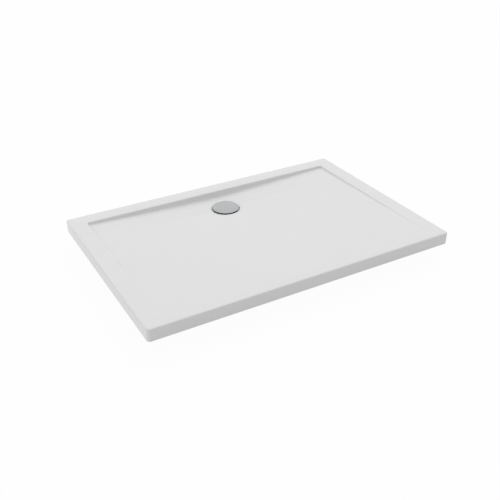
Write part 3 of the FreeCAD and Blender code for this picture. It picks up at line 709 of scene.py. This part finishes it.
# ---------------------------------------------------------------- the tray
def wall_drop(inside: float, depth: float, lean: float, lip: float, foot: float) -> float:
    """How far a wall's face has dropped at a distance inside its upper edge.

    The face rounds over a lip, runs down straight and rounds out into the floor. Where
    the drop is too small for both rounds, they turn through less.

    Args:
        inside: Distance inside the upper edge, in plan.
        depth: The whole drop.
        lean: The straight part's angle from level, in radians.
        lip: Radius of the lip.
        foot: Radius at the foot.

    Returns:
        The drop.
    """
    if inside <= 0 or depth <= 0:
        return 0.0
    rounds = (lip + foot) * (1 - math.cos(lean))
    if depth < rounds:
        lean = math.acos(1 - depth / (lip + foot))
        rounds = depth
    lip_end = lip * math.sin(lean)
    straight = (depth - rounds) / math.tan(lean)
    foot_start = lip_end + straight
    foot_end = foot_start + foot * math.sin(lean)
    if inside < lip_end:
        return lip - math.sqrt(lip * lip - inside * inside)
    if inside < foot_start:
        return lip * (1 - math.cos(lean)) + (inside - lip_end) * math.tan(lean)
    if inside < foot_end:
        left = foot_end - inside
        return depth - (foot - math.sqrt(foot * foot - left * left))
    return depth


def spaced(start: float, end: float, widest: float) -> list[float]:
    """Places from start to end, no further apart than widest, without the two ends."""
    count = max(1, math.ceil(abs(end - start) / widest))
    return [start + (end - start) * index / count for index in range(1, count)]


@dataclass
class TrayShell:
    """The acrylic shell: rim, basin, dish and skirt, formed from one sheet."""

    rim_width: float = 60 * MM
    front_flat: float = 52 * MM
    side_depth: float = 10 * MM
    drain_depth: float = 28 * MM
    back_depth: float = 24.5 * MM
    valley_softness: float = 0.2
    front_softness: float = 0.5 * MM
    wall_lean: float = math.radians(79.8)
    lip_radius: float = 4.5 * MM
    foot_share: float = 0.65
    basin_corner: float = 9 * MM
    outer_corner: float = 12 * MM
    outer_round: float = 5 * MM
    sheet: float = 4 * MM
    drain_offset: float = 172 * MM
    dish_edge: float = 59.5 * MM
    dish_depth: float = 4 * MM
    dish_lean: float = math.radians(60)
    dish_lip: float = 4.2 * MM
    dish_foot: float = 2 * MM
    patch_half: float = 75 * MM
    patch_step: float = 5 * MM
    wall_zone: float = 22 * MM
    wall_step: float = 0.7 * MM
    floor_step: float = 18 * MM
    front_step: float = 3 * MM
    corner_segments: int = 8
    round_segments: int = 6
    level_tolerance: float = 0.01 * MM
    upright: float = 0.1
    crease_degrees: float = 40.0
    rounding_rings: tuple[tuple[float, float], ...] = ((0.35, 77.0), (0.6, 69.0), (1.0, 62.0))
    dish_rings: tuple[float, ...] = (60.5, 59.5, 58.7, 57.8, 56.9, 56.1, 55.4, 54.8, 54.2,
                                     53.7, 52.5, 49.0, 45.0)
    low: Vector = field(init=False)
    high: Vector = field(init=False)

    def __post_init__(self) -> None:
        """Take the outside from the frame."""
        self.low, self.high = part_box("acrylic_shell")

    @property
    def basin_half(self) -> float:
        """Middle to the basin's end wall."""
        return self.high.x - self.rim_width

    @property
    def basin_back(self) -> float:
        """Place of the basin's back wall."""
        return self.high.y - self.rim_width

    @property
    def basin_front(self) -> float:
        """Place where the floor starts to fall."""
        return self.low.y + self.front_flat

    @property
    def drain_y(self) -> float:
        """Place of the waste."""
        return self.high.y - self.drain_offset

    def fall(self, x: float, y: float) -> float:
        """How far the floor lies below the rim, walls and dish aside.

        Args:
            x: Place across the tray.
            y: Place along it.

        Returns:
            The depth, eased to nothing at the front.
        """
        share_back = (y - self.basin_front) / (self.basin_back - self.basin_front)
        side = self.side_depth * share_back
        if y <= self.drain_y:
            share = (y - self.basin_front) / (self.drain_y - self.basin_front)
            middle = self.drain_depth * share
        else:
            share = (y - self.drain_y) / (self.basin_back - self.drain_y)
            middle = self.drain_depth - (self.drain_depth - self.back_depth) * share
        soft = self.valley_softness
        across = x / self.basin_half
        edge = math.sqrt(1 + soft * soft)
        valley = (edge - math.sqrt(across * across + soft * soft)) / (edge - soft)
        depth = side + (middle - side) * valley
        return (depth + math.sqrt(depth * depth + self.front_softness ** 2)) / 2

    def inside_basin(self, x: float, y: float) -> float:
        """Distance inside the basin's upper edge, less than nothing outside it."""
        from_side = self.basin_half - abs(x)
        from_back = self.basin_back - y
        corner = self.basin_corner
        if from_side < corner and from_back < corner:
            return corner - math.hypot(corner - from_side, corner - from_back)
        return min(from_side, from_back)

    def level(self, x: float, y: float) -> float:
        """Level of the shell's upper face.

        Args:
            x: Place across the tray.
            y: Place along it.

        Returns:
            The level.
        """
        rim = self.high.z
        if y < self.basin_front - self.wall_zone:
            return rim
        depth = self.fall(x, y)
        drop = wall_drop(self.inside_basin(x, y), depth, self.wall_lean,
                         self.lip_radius, depth * self.foot_share)
        from_waste = math.hypot(x, y - self.drain_y)
        if from_waste < self.dish_edge:
            seat = self.drain_depth + self.dish_depth
            drop += wall_drop(self.dish_edge - from_waste, seat - drop, self.dish_lean,
                              self.dish_lip, self.dish_foot)
        return rim - drop

    def cuts_across(self) -> list[float]:
        """Places of the cuts that divide the sheet across the tray."""
        walls = spaced(self.basin_half - self.wall_zone, self.basin_half + self.wall_step,
                       self.wall_step)
        floor = spaced(self.patch_half, self.basin_half - self.wall_zone, self.floor_step)
        half = sorted(floor + [self.patch_half, self.basin_half - self.wall_zone] + walls)
        patch = spaced(-self.patch_half, self.patch_half, self.patch_step)
        return [-place for place in half] + patch + half

    def cuts_along(self) -> list[float]:
        """Places of the cuts that divide the sheet from front to back."""
        patch_front = self.drain_y - self.patch_half
        patch_back = self.drain_y + self.patch_half
        wall_start = self.basin_back - self.wall_zone
        front = self.basin_front - self.wall_zone
        cuts = [front, patch_front, patch_back, wall_start]
        cuts += spaced(front, self.basin_front + self.wall_zone, self.front_step)
        cuts += spaced(self.basin_front + self.wall_zone, patch_front, self.floor_step)
        cuts += spaced(patch_front, patch_back, self.patch_step)
        cuts += spaced(patch_back, wall_start, self.patch_step)
        cuts += spaced(wall_start, self.basin_back + self.wall_step, self.wall_step)
        return cuts

    def build(self) -> bpy.types.Object:
        """Form the shell.

        Returns:
            The finished piece.
        """
        piece = self.cut_sheet()
        self.open_waste(piece)
        self.press_basin(piece)
        self.fold_skirt(piece)
        apply_modifier(piece, "SOLIDIFY", thickness=self.sheet, offset=-1.0,
                       use_even_offset=True)
        smooth(piece, self.crease_degrees)
        return piece

    def cut_sheet(self) -> bpy.types.Object:
        """A flat sheet with round corners, divided by straight cuts."""
        deselect_all()
        bpy.ops.mesh.primitive_plane_add(size=2.0, location=(0.0, 0.0, 0.0))
        piece = named("tray_shell")
        with editing(piece):
            bpy.ops.mesh.select_all(action="SELECT")
            bpy.ops.transform.resize(value=(self.high.x, self.high.y, 1.0),
                                     center_override=(0.0, 0.0, 0.0))
            bpy.ops.transform.translate(value=(0.0, 0.0, self.high.z))
            bpy.ops.mesh.bevel(offset=self.outer_corner, segments=self.corner_segments,
                               affect="VERTICES")
            for place in self.cuts_across():
                self.cut(Vector((place, 0.0, 0.0)), Vector((1.0, 0.0, 0.0)))
            for place in self.cuts_along():
                self.cut(Vector((0.0, place, 0.0)), Vector((0.0, 1.0, 0.0)))
        return piece

    @staticmethod
    def cut(through: Vector, facing: Vector) -> None:
        """Divide the whole sheet by one straight cut."""
        bpy.ops.mesh.select_all(action="SELECT")
        bpy.ops.mesh.bisect(plane_co=through, plane_no=facing)

    def open_waste(self, piece: bpy.types.Object) -> None:
        """Trade the square patch at the waste for rings around a round hole.

        Each ring is drawn in from the one before. The first few turn the square round.

        Args:
            piece: The sheet.
        """
        middle = Vector((0.0, self.drain_y, self.high.z))

        def in_patch(face: bmesh.types.BMFace) -> bool:
            """Whether a face lies in the square patch."""
            offset = face.calc_center_median() - middle
            return max(abs(offset.x), abs(offset.y)) < self.patch_half

        def on_square(edge: bmesh.types.BMEdge) -> bool:
            """Whether an edge lies on the patch's open border."""
            offset = (edge.verts[0].co + edge.verts[1].co) / 2 - middle
            return edge.is_boundary and max(abs(offset.x), abs(offset.y)) < self.patch_half + MM

        with editing(piece):
            pick(piece, Part.FACES, in_patch)
            bpy.ops.mesh.delete(type="FACE")
            pick(piece, Part.EDGES, on_square)
            for roundness, radius in self.rounding_rings:
                self.draw_in(piece, middle, radius * MM, roundness)
            for radius in self.dish_rings:
                self.draw_in(piece, middle, radius * MM, 1.0)

    @staticmethod
    def draw_in(piece: bpy.types.Object, middle: Vector, radius: float,
                roundness: float) -> None:
        """Extrude the selected ring of edges inwards.

        Args:
            piece: The piece that is being edited.
            middle: The ring's middle.
            radius: The new ring's mean radius.
            roundness: How far the new ring goes towards a circle, from 0 to 1.
        """
        bpy.ops.mesh.extrude_edges_move()
        bpy.ops.transform.tosphere(value=roundness)
        shape = bmesh.from_edit_mesh(piece.data)
        reaches = [(vertex.co - middle).length for vertex in shape.verts if vertex.select]
        share = radius * len(reaches) / sum(reaches)
        bpy.ops.transform.resize(value=(share, share, 1.0), center_override=middle)

    def press_basin(self, piece: bpy.types.Object) -> None:
        """Press the flat sheet down to the basin's and the dish's levels."""
        for vertex in piece.data.vertices:
            vertex.co.z = self.level(vertex.co.x, vertex.co.y)

    def fold_skirt(self, piece: bpy.types.Object) -> None:
        """Draw the outer edge down into the skirt and round it over."""
        middle = Vector((0.0, self.drain_y))

        def outer(edge: bmesh.types.BMEdge) -> bool:
            """Whether an edge lies on the sheet's outer border."""
            centre = (edge.verts[0].co + edge.verts[1].co) / 2
            return edge.is_boundary and (centre.xy - middle).length > self.patch_half

        def brim(edge: bmesh.types.BMEdge) -> bool:
            """Whether an edge is the one where the rim turns down."""
            if edge.is_boundary or len(edge.link_faces) != 2:
                return False
            level = all(abs(end.co.z - self.high.z) < self.level_tolerance
                        for end in edge.verts)
            steepest = min(abs(face.normal.z) for face in edge.link_faces)
            return level and steepest < self.upright

        with editing(piece):
            bpy.ops.mesh.select_all(action="SELECT")
            bpy.ops.mesh.normals_make_consistent(inside=False)
            pick(piece, Part.EDGES, outer)
            drop = Vector((0.0, 0.0, self.low.z - self.high.z))
            bpy.ops.mesh.extrude_edges_move(TRANSFORM_OT_translate={"value": drop})
            bpy.ops.mesh.select_all(action="SELECT")
            bpy.ops.mesh.normals_make_consistent(inside=False)
            pick(piece, Part.EDGES, brim)
            bpy.ops.mesh.bevel(offset=self.outer_round, segments=self.round_segments,
                               affect="EDGES")
            bpy.ops.mesh.select_all(action="SELECT")
            shape = bmesh.from_edit_mesh(piece.data)
            shape.faces.ensure_lookup_table()
            top = max(shape.faces, key=lambda face: face.calc_center_median().z)
            if top.normal.z < 0:
                bpy.ops.mesh.flip_normals()


# ---------------------------------------------------------------- the waste
@dataclass
class Waste:
    """The chromed cover and the flange under it."""

    cover_crown: float = 0.6 * MM
    cover_step: float = 6.5 * MM
    groove_middle: float = 0.8 * MM
    groove_depth: float = 0.4 * MM
    groove_end: float = 1.8 * MM
    brim_fall: float = 0.2 * MM
    brim_round: float = 1.3 * MM
    sheet: float = 1.5 * MM
    notch_radius: float = 14 * MM
    notch_bite: float = 4 * MM
    neck_bore: float = 41.5 * MM
    ledge_bore: float = 38.5 * MM
    neck_radius: float = 44.25 * MM
    ledge: float = 2 * MM
    flange: float = 2 * MM

    def build_cover(self) -> bpy.types.Object:
        """The cover: a crowned disc with a rolled edge and a thumb notch.

        Returns:
            The finished piece.
        """
        low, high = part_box("waste_cover")
        radius = high.x
        axis = Vector((0.0, (low.y + low.y + 2 * radius) / 2, 0.0))
        edge = radius - self.cover_step
        brim = high.z - self.cover_crown
        cover = turned("waste_cover_disc", [
            Corner(0.0, high.z),
            Corner(edge / 2, high.z - self.cover_crown * 0.25, 40 * MM),
            Corner(edge, brim, 0.5 * MM),
            Corner(edge + self.groove_middle, brim - self.groove_depth, 0.4 * MM),
            Corner(edge + self.groove_end, brim, 0.6 * MM),
            Corner(radius, brim - self.brim_fall, self.brim_round),
            Corner(radius, low.z, 0.3 * MM),
            Corner(radius - self.sheet, low.z, 0.3 * MM),
            Corner(radius - self.sheet, high.z - 1.9 * MM, 0.5 * MM),
            Corner(0.0, high.z - self.sheet)], axis, steps=128)
        self.cut_notch(cover, axis, radius, low.z, high.z)
        return cover

    def cut_notch(self, cover: bpy.types.Object, axis: Vector, radius: float, low: float,
                  high: float) -> None:
        """Cut the thumb notch in the cover's back edge.

        Args:
            cover: The cover.
            axis: A point on its axis.
            radius: The cover's radius.
            low: The cover's lowest level.
            high: Its highest level.
        """
        deselect_all()
        place = (axis.x, axis.y + radius - self.notch_bite + self.notch_radius,
                 (low + high) / 2)
        bpy.ops.mesh.primitive_cylinder_add(vertices=96, radius=self.notch_radius,
                                            depth=(high - low) * 4, location=place)
        cutter = named("notch_cutter")
        apply_modifier(cover, "BOOLEAN", operation="DIFFERENCE", object=cutter,
                       solver="EXACT")
        bpy.data.objects.remove(cutter)
        tidy_shell(cover)
        smooth(cover)

    def build_flange(self) -> bpy.types.Object:
        """The flange, with its neck and the ledge inside it.

        Returns:
            The finished piece.
        """
        low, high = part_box("waste_flange")
        radius = high.x
        axis = Vector((0.0, (low.y + high.y) / 2, 0.0))
        under = high.z - self.flange
        return turned("waste_flange_ring", [
            Corner(self.neck_bore, high.z, 0.8 * MM),
            Corner(radius - 0.4 * MM, high.z, 1.0 * MM),
            Corner(radius, under, 0.3 * MM),
            Corner(self.neck_radius, under, 0.3 * MM),
            Corner(self.neck_radius, low.z, 0.5 * MM),
            Corner(self.ledge_bore, low.z, 0.4 * MM),
            Corner(self.ledge_bore, low.z + self.ledge, 0.4 * MM),
            Corner(self.neck_bore, low.z + self.ledge, 0.5 * MM)], axis, closed=True)


# ---------------------------------------------------------------- the feet
@dataclass
class ScrewFoot:
    """One screw foot: a threaded rod with a spanner collar and its pad."""

    name: str
    pitch: float = 1.75 * MM
    flank_share: float = 0.44
    crest_share: float = 0.12
    thread_steps: int = 20
    thread_depth: float = 0.95 * MM
    journal_end: float = 12.3 * MM
    collar: float = 7 * MM
    collar_across: float = 19 * MM
    pad_edge: float = 5 * MM
    pad_top: float = 12 * MM
    pad_neck: float = 13 * MM
    pad_floor: float = 3 * MM
    bore: float = 6.05 * MM
    rod_radius: float = 6 * MM

    def place(self) -> Vector:
        """The foot's axis, from the frame."""
        low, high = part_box("foot_pad_" + self.name)
        return Vector(((low.x + high.x) / 2, (low.y + high.y) / 2, 0.0))

    def build_pad(self) -> bpy.types.Object:
        """The moulded pad.

        Returns:
            The finished piece.
        """
        low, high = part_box("foot_pad_" + self.name)
        radius = (high.x - low.x) / 2
        return turned("pad_" + self.name, [
            Corner(0.0, 0.0),
            Corner(radius - 3 * MM, 0.0, 0.2 * MM),
            Corner(radius, 0.6 * MM, 0.5 * MM),
            Corner(radius, self.pad_edge, 1.2 * MM),
            Corner(self.pad_neck + 1.5 * MM, self.pad_top - 2.2 * MM, 2.0 * MM),
            Corner(self.pad_neck, self.pad_top, 0.8 * MM),
            Corner(self.bore, self.pad_top, 0.5 * MM),
            Corner(self.bore, self.pad_floor, 0.3 * MM),
            Corner(0.0, self.pad_floor)], self.place(), steps=64)

    def build_rod(self) -> bpy.types.Object:
        """The rod: plain journal, spanner collar and cut thread.

        Returns:
            The finished piece.
        """
        low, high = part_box("foot_rod_" + self.name)
        place = self.place()
        collar_top = self.journal_end + self.collar
        thread = self.cut_thread(collar_top - self.pitch, high.z)
        journal = turned("journal_" + self.name, [
            Corner(0.0, low.z),
            Corner(self.rod_radius, low.z, 0.5 * MM),
            Corner(self.rod_radius, self.journal_end + MM),
            Corner(0.0, self.journal_end + MM)], Vector((0.0, 0.0, 0.0)), steps=40)
        collar = self.shape_collar()
        take_up(thread)
        journal.select_set(True)
        collar.select_set(True)
        bpy.ops.object.join()
        rod = bpy.context.active_object
        rod.name = "rod_" + self.name
        rod.data.name = rod.name
        with editing(rod):
            bpy.ops.mesh.select_all(action="SELECT")
            bpy.ops.transform.translate(value=place)
        smooth(rod, 50.0)
        return rod

    def cut_thread(self, start: float, end: float) -> bpy.types.Object:
        """A threaded length around the upright axis.

        Args:
            start: Its lower end.
            end: Its upper end.

        Returns:
            The thread, closed at both ends.
        """
        deselect_all()
        bpy.ops.mesh.primitive_plane_add(size=MM)
        thread = named("thread_" + self.name)
        root = self.rod_radius - self.thread_depth
        flank = (self.thread_depth, 0.0, self.pitch * self.flank_share)
        crest = (0.0, 0.0, self.pitch * self.crest_share)
        back = (-self.thread_depth, 0.0, self.pitch * self.flank_share)
        with editing(thread):
            bpy.ops.mesh.select_all(action="SELECT")
            bpy.ops.mesh.merge(type="CENTER")
            bpy.ops.transform.translate(value=(root, 0.0, start - self.pitch))
            for step in (flank, crest, back):
                bpy.ops.mesh.extrude_region_move(TRANSFORM_OT_translate={"value": step})
        turns = math.ceil((end - start) / self.pitch) + 2
        apply_modifier(thread, "SCREW", angle=2 * math.pi, screw_offset=self.pitch,
                       iterations=turns, steps=self.thread_steps,
                       render_steps=self.thread_steps, use_merge_vertices=True,
                       merge_threshold=0.01 * MM)
        tidy_shell(thread)
        with editing(thread):
            for level, facing in ((start, -1.0), (end, 1.0)):
                bpy.ops.mesh.select_all(action="SELECT")
                bpy.ops.mesh.bisect(plane_co=(0.0, 0.0, level), plane_no=(0.0, 0.0, facing),
                                    use_fill=True, clear_outer=True)
        tidy_shell(thread)
        return thread

    def shape_collar(self) -> bpy.types.Object:
        """The six-sided spanner collar with its corners turned off."""
        deselect_all()
        bpy.ops.mesh.primitive_cylinder_add(
            vertices=6, radius=self.collar_across / math.sqrt(3), depth=self.collar,
            location=(0.0, 0.0, self.journal_end + self.collar / 2),
            rotation=(0.0, 0.0, math.radians(30)))
        collar = named("collar_" + self.name)
        bpy.ops.object.transform_apply(location=True, rotation=True, scale=True)
        with editing(collar):
            pick(collar, Part.EDGES, lambda edge: True)
            bpy.ops.mesh.bevel(offset=0.7 * MM, segments=3, affect="EDGES")
        return collar


# ---------------------------------------------------------------- the room
@dataclass
class Studio:
    """A pale floor, soft light and the camera.

    The key light stands behind the tray's right and the fill low on its left.
    """

    camera_place: Vector = field(default_factory=lambda: Vector((-1.1624, -1.9983, 1.3717)))
    camera_azimuth: float = math.radians(-29.80)
    camera_elevation: float = math.radians(30.71)
    lens: float = 50.49
    floor_size: float = 40.0
    sensor: float = 36.0
    white: Colour = (1.0, 1.0, 1.0)
    floor_colour: Colour = (0.76, 0.76, 0.76)
    floor_roughness: float = 0.9
    floor_glow: float = 0.97
    sky: float = 0.575
    key_strength: float = 1.15
    key_spread: float = math.radians(30)
    key_from: Vector = field(default_factory=lambda: Vector((0.45, 0.45, 0.77)))
    fill_strength: float = 0.6
    fill_spread: float = math.radians(60)
    fill_from: Vector = field(default_factory=lambda: Vector((-0.95, 0.15, 0.25)))

    def build(self) -> None:
        """Set up the floor, the sky, the lamps and the camera."""
        self.lay_floor()
        self.hang_sky()
        self.hang_lamp("key_light", self.key_from, self.key_strength, self.key_spread)
        self.hang_lamp("fill_light", self.fill_from, self.fill_strength, self.fill_spread)
        self.set_camera()
        bpy.context.scene.view_settings.view_transform = "Standard"

    def lay_floor(self) -> None:
        """A wide pale floor that keeps the tray's shadow."""
        deselect_all()
        bpy.ops.mesh.primitive_plane_add(size=self.floor_size)
        floor = named("studio_floor")
        graph = Graph("studio_floor")
        graph.feed(graph.shader, "Base Color", rgba(self.floor_colour))
        graph.feed(graph.shader, "Roughness", self.floor_roughness)
        graph.feed(graph.shader, "Specular IOR Level", 0.0)
        glow = graph.add("ShaderNodeEmission", {}, {"Color": rgba(self.white)})
        mix = graph.add("ShaderNodeMixShader", {}, {
            0: graph.shown() * self.floor_glow,
            1: Signal(graph, graph.shader.outputs[0]),
            2: Signal(graph, glow.outputs[0])})
        graph.feed(graph.output, "Surface", Signal(graph, mix.outputs[0]))
        floor.data.materials.append(graph.material)

    def hang_sky(self) -> None:
        """An even white sky, seen white and lighting at a plain level."""
        world = bpy.data.worlds.new("studio_sky")
        bpy.context.scene.world = world
        world.use_nodes = True
        nodes = Nodes(world.node_tree)
        white = rgba(self.white)
        lighting = nodes.add("ShaderNodeBackground", {}, {"Color": white, "Strength": self.sky})
        showing = nodes.add("ShaderNodeBackground", {}, {"Color": white, "Strength": 1.0})
        mix = nodes.add("ShaderNodeMixShader", {}, {
            0: nodes.shown(),
            1: Signal(nodes, lighting.outputs[0]),
            2: Signal(nodes, showing.outputs[0])})
        nodes.add("ShaderNodeOutputWorld", {}, {"Surface": Signal(nodes, mix.outputs[0])})

    @staticmethod
    def hang_lamp(name: str, source: Vector, strength: float, spread: float) -> None:
        """Hang one wide soft light that throws no highlight of its own.

        Args:
            name: The lamp's name.
            source: The direction that the light comes from.
            strength: Its strength.
            spread: How wide it looks from the tray, in radians.
        """
        data = bpy.data.lights.new(name, "SUN")
        data.energy = strength
        data.angle = spread
        lamp = bpy.data.objects.new(name, data)
        lamp.rotation_euler = source.to_track_quat("Z", "Y").to_euler()
        lamp.visible_glossy = False
        bpy.context.scene.collection.objects.link(lamp)

    def set_camera(self) -> None:
        """The camera at the photograph's angle."""
        azimuth, elevation = self.camera_azimuth, self.camera_elevation
        ahead = Vector((-math.sin(azimuth) * math.cos(elevation),
                        math.cos(azimuth) * math.cos(elevation),
                        -math.sin(elevation)))
        data = bpy.data.cameras.new("camera")
        data.lens = self.lens
        data.sensor_width = self.sensor
        camera = bpy.data.objects.new("camera", data)
        camera.location = self.camera_place
        camera.rotation_euler = ahead.to_track_quat("-Z", "Y").to_euler()
        bpy.context.scene.collection.objects.link(camera)
        bpy.context.scene.camera = camera


def dress_frame() -> None:
    """Give every node of the frame its finish, by its material slot."""
    for part in frame["record"]["subparts"]:
        node = frame["nodes"][part["node"]]
        material = FINISHES[part["material_slot"]].material()
        if not node.material_slots:
            node.data.materials.append(material)
        for slot in node.material_slots:
            slot.material = material


def main() -> None:
    """Build every piece in order and report it."""
    dress_frame()
    Studio().build()
    fit_piece(TrayShell().build(), "tray", "acrylic_shell",
              FINISHES["white_acrylic"])
    waste = Waste()
    fit_piece(waste.build_flange(), "tray", "waste_flange",
              FINISHES["chrome_plate"])
    fit_piece(waste.build_cover(), "cover", "waste_cover",
              FINISHES["chrome_plate"])
    feet = sorted(body[len("pad_"):] for body in frame["bodies"] if body.startswith("pad_"))
    for name in feet:
        foot = ScrewFoot(name)
        fit_piece(foot.build_pad(), "pad_" + name, "foot_pad_" + name,
                  FINISHES["black_plastic"])
        fit_piece(foot.build_rod(), "rod_" + name, "foot_rod_" + name,
                  FINISHES["zinc_plated_steel"])
    deselect_all()


if __name__ == "__main__":
    main()
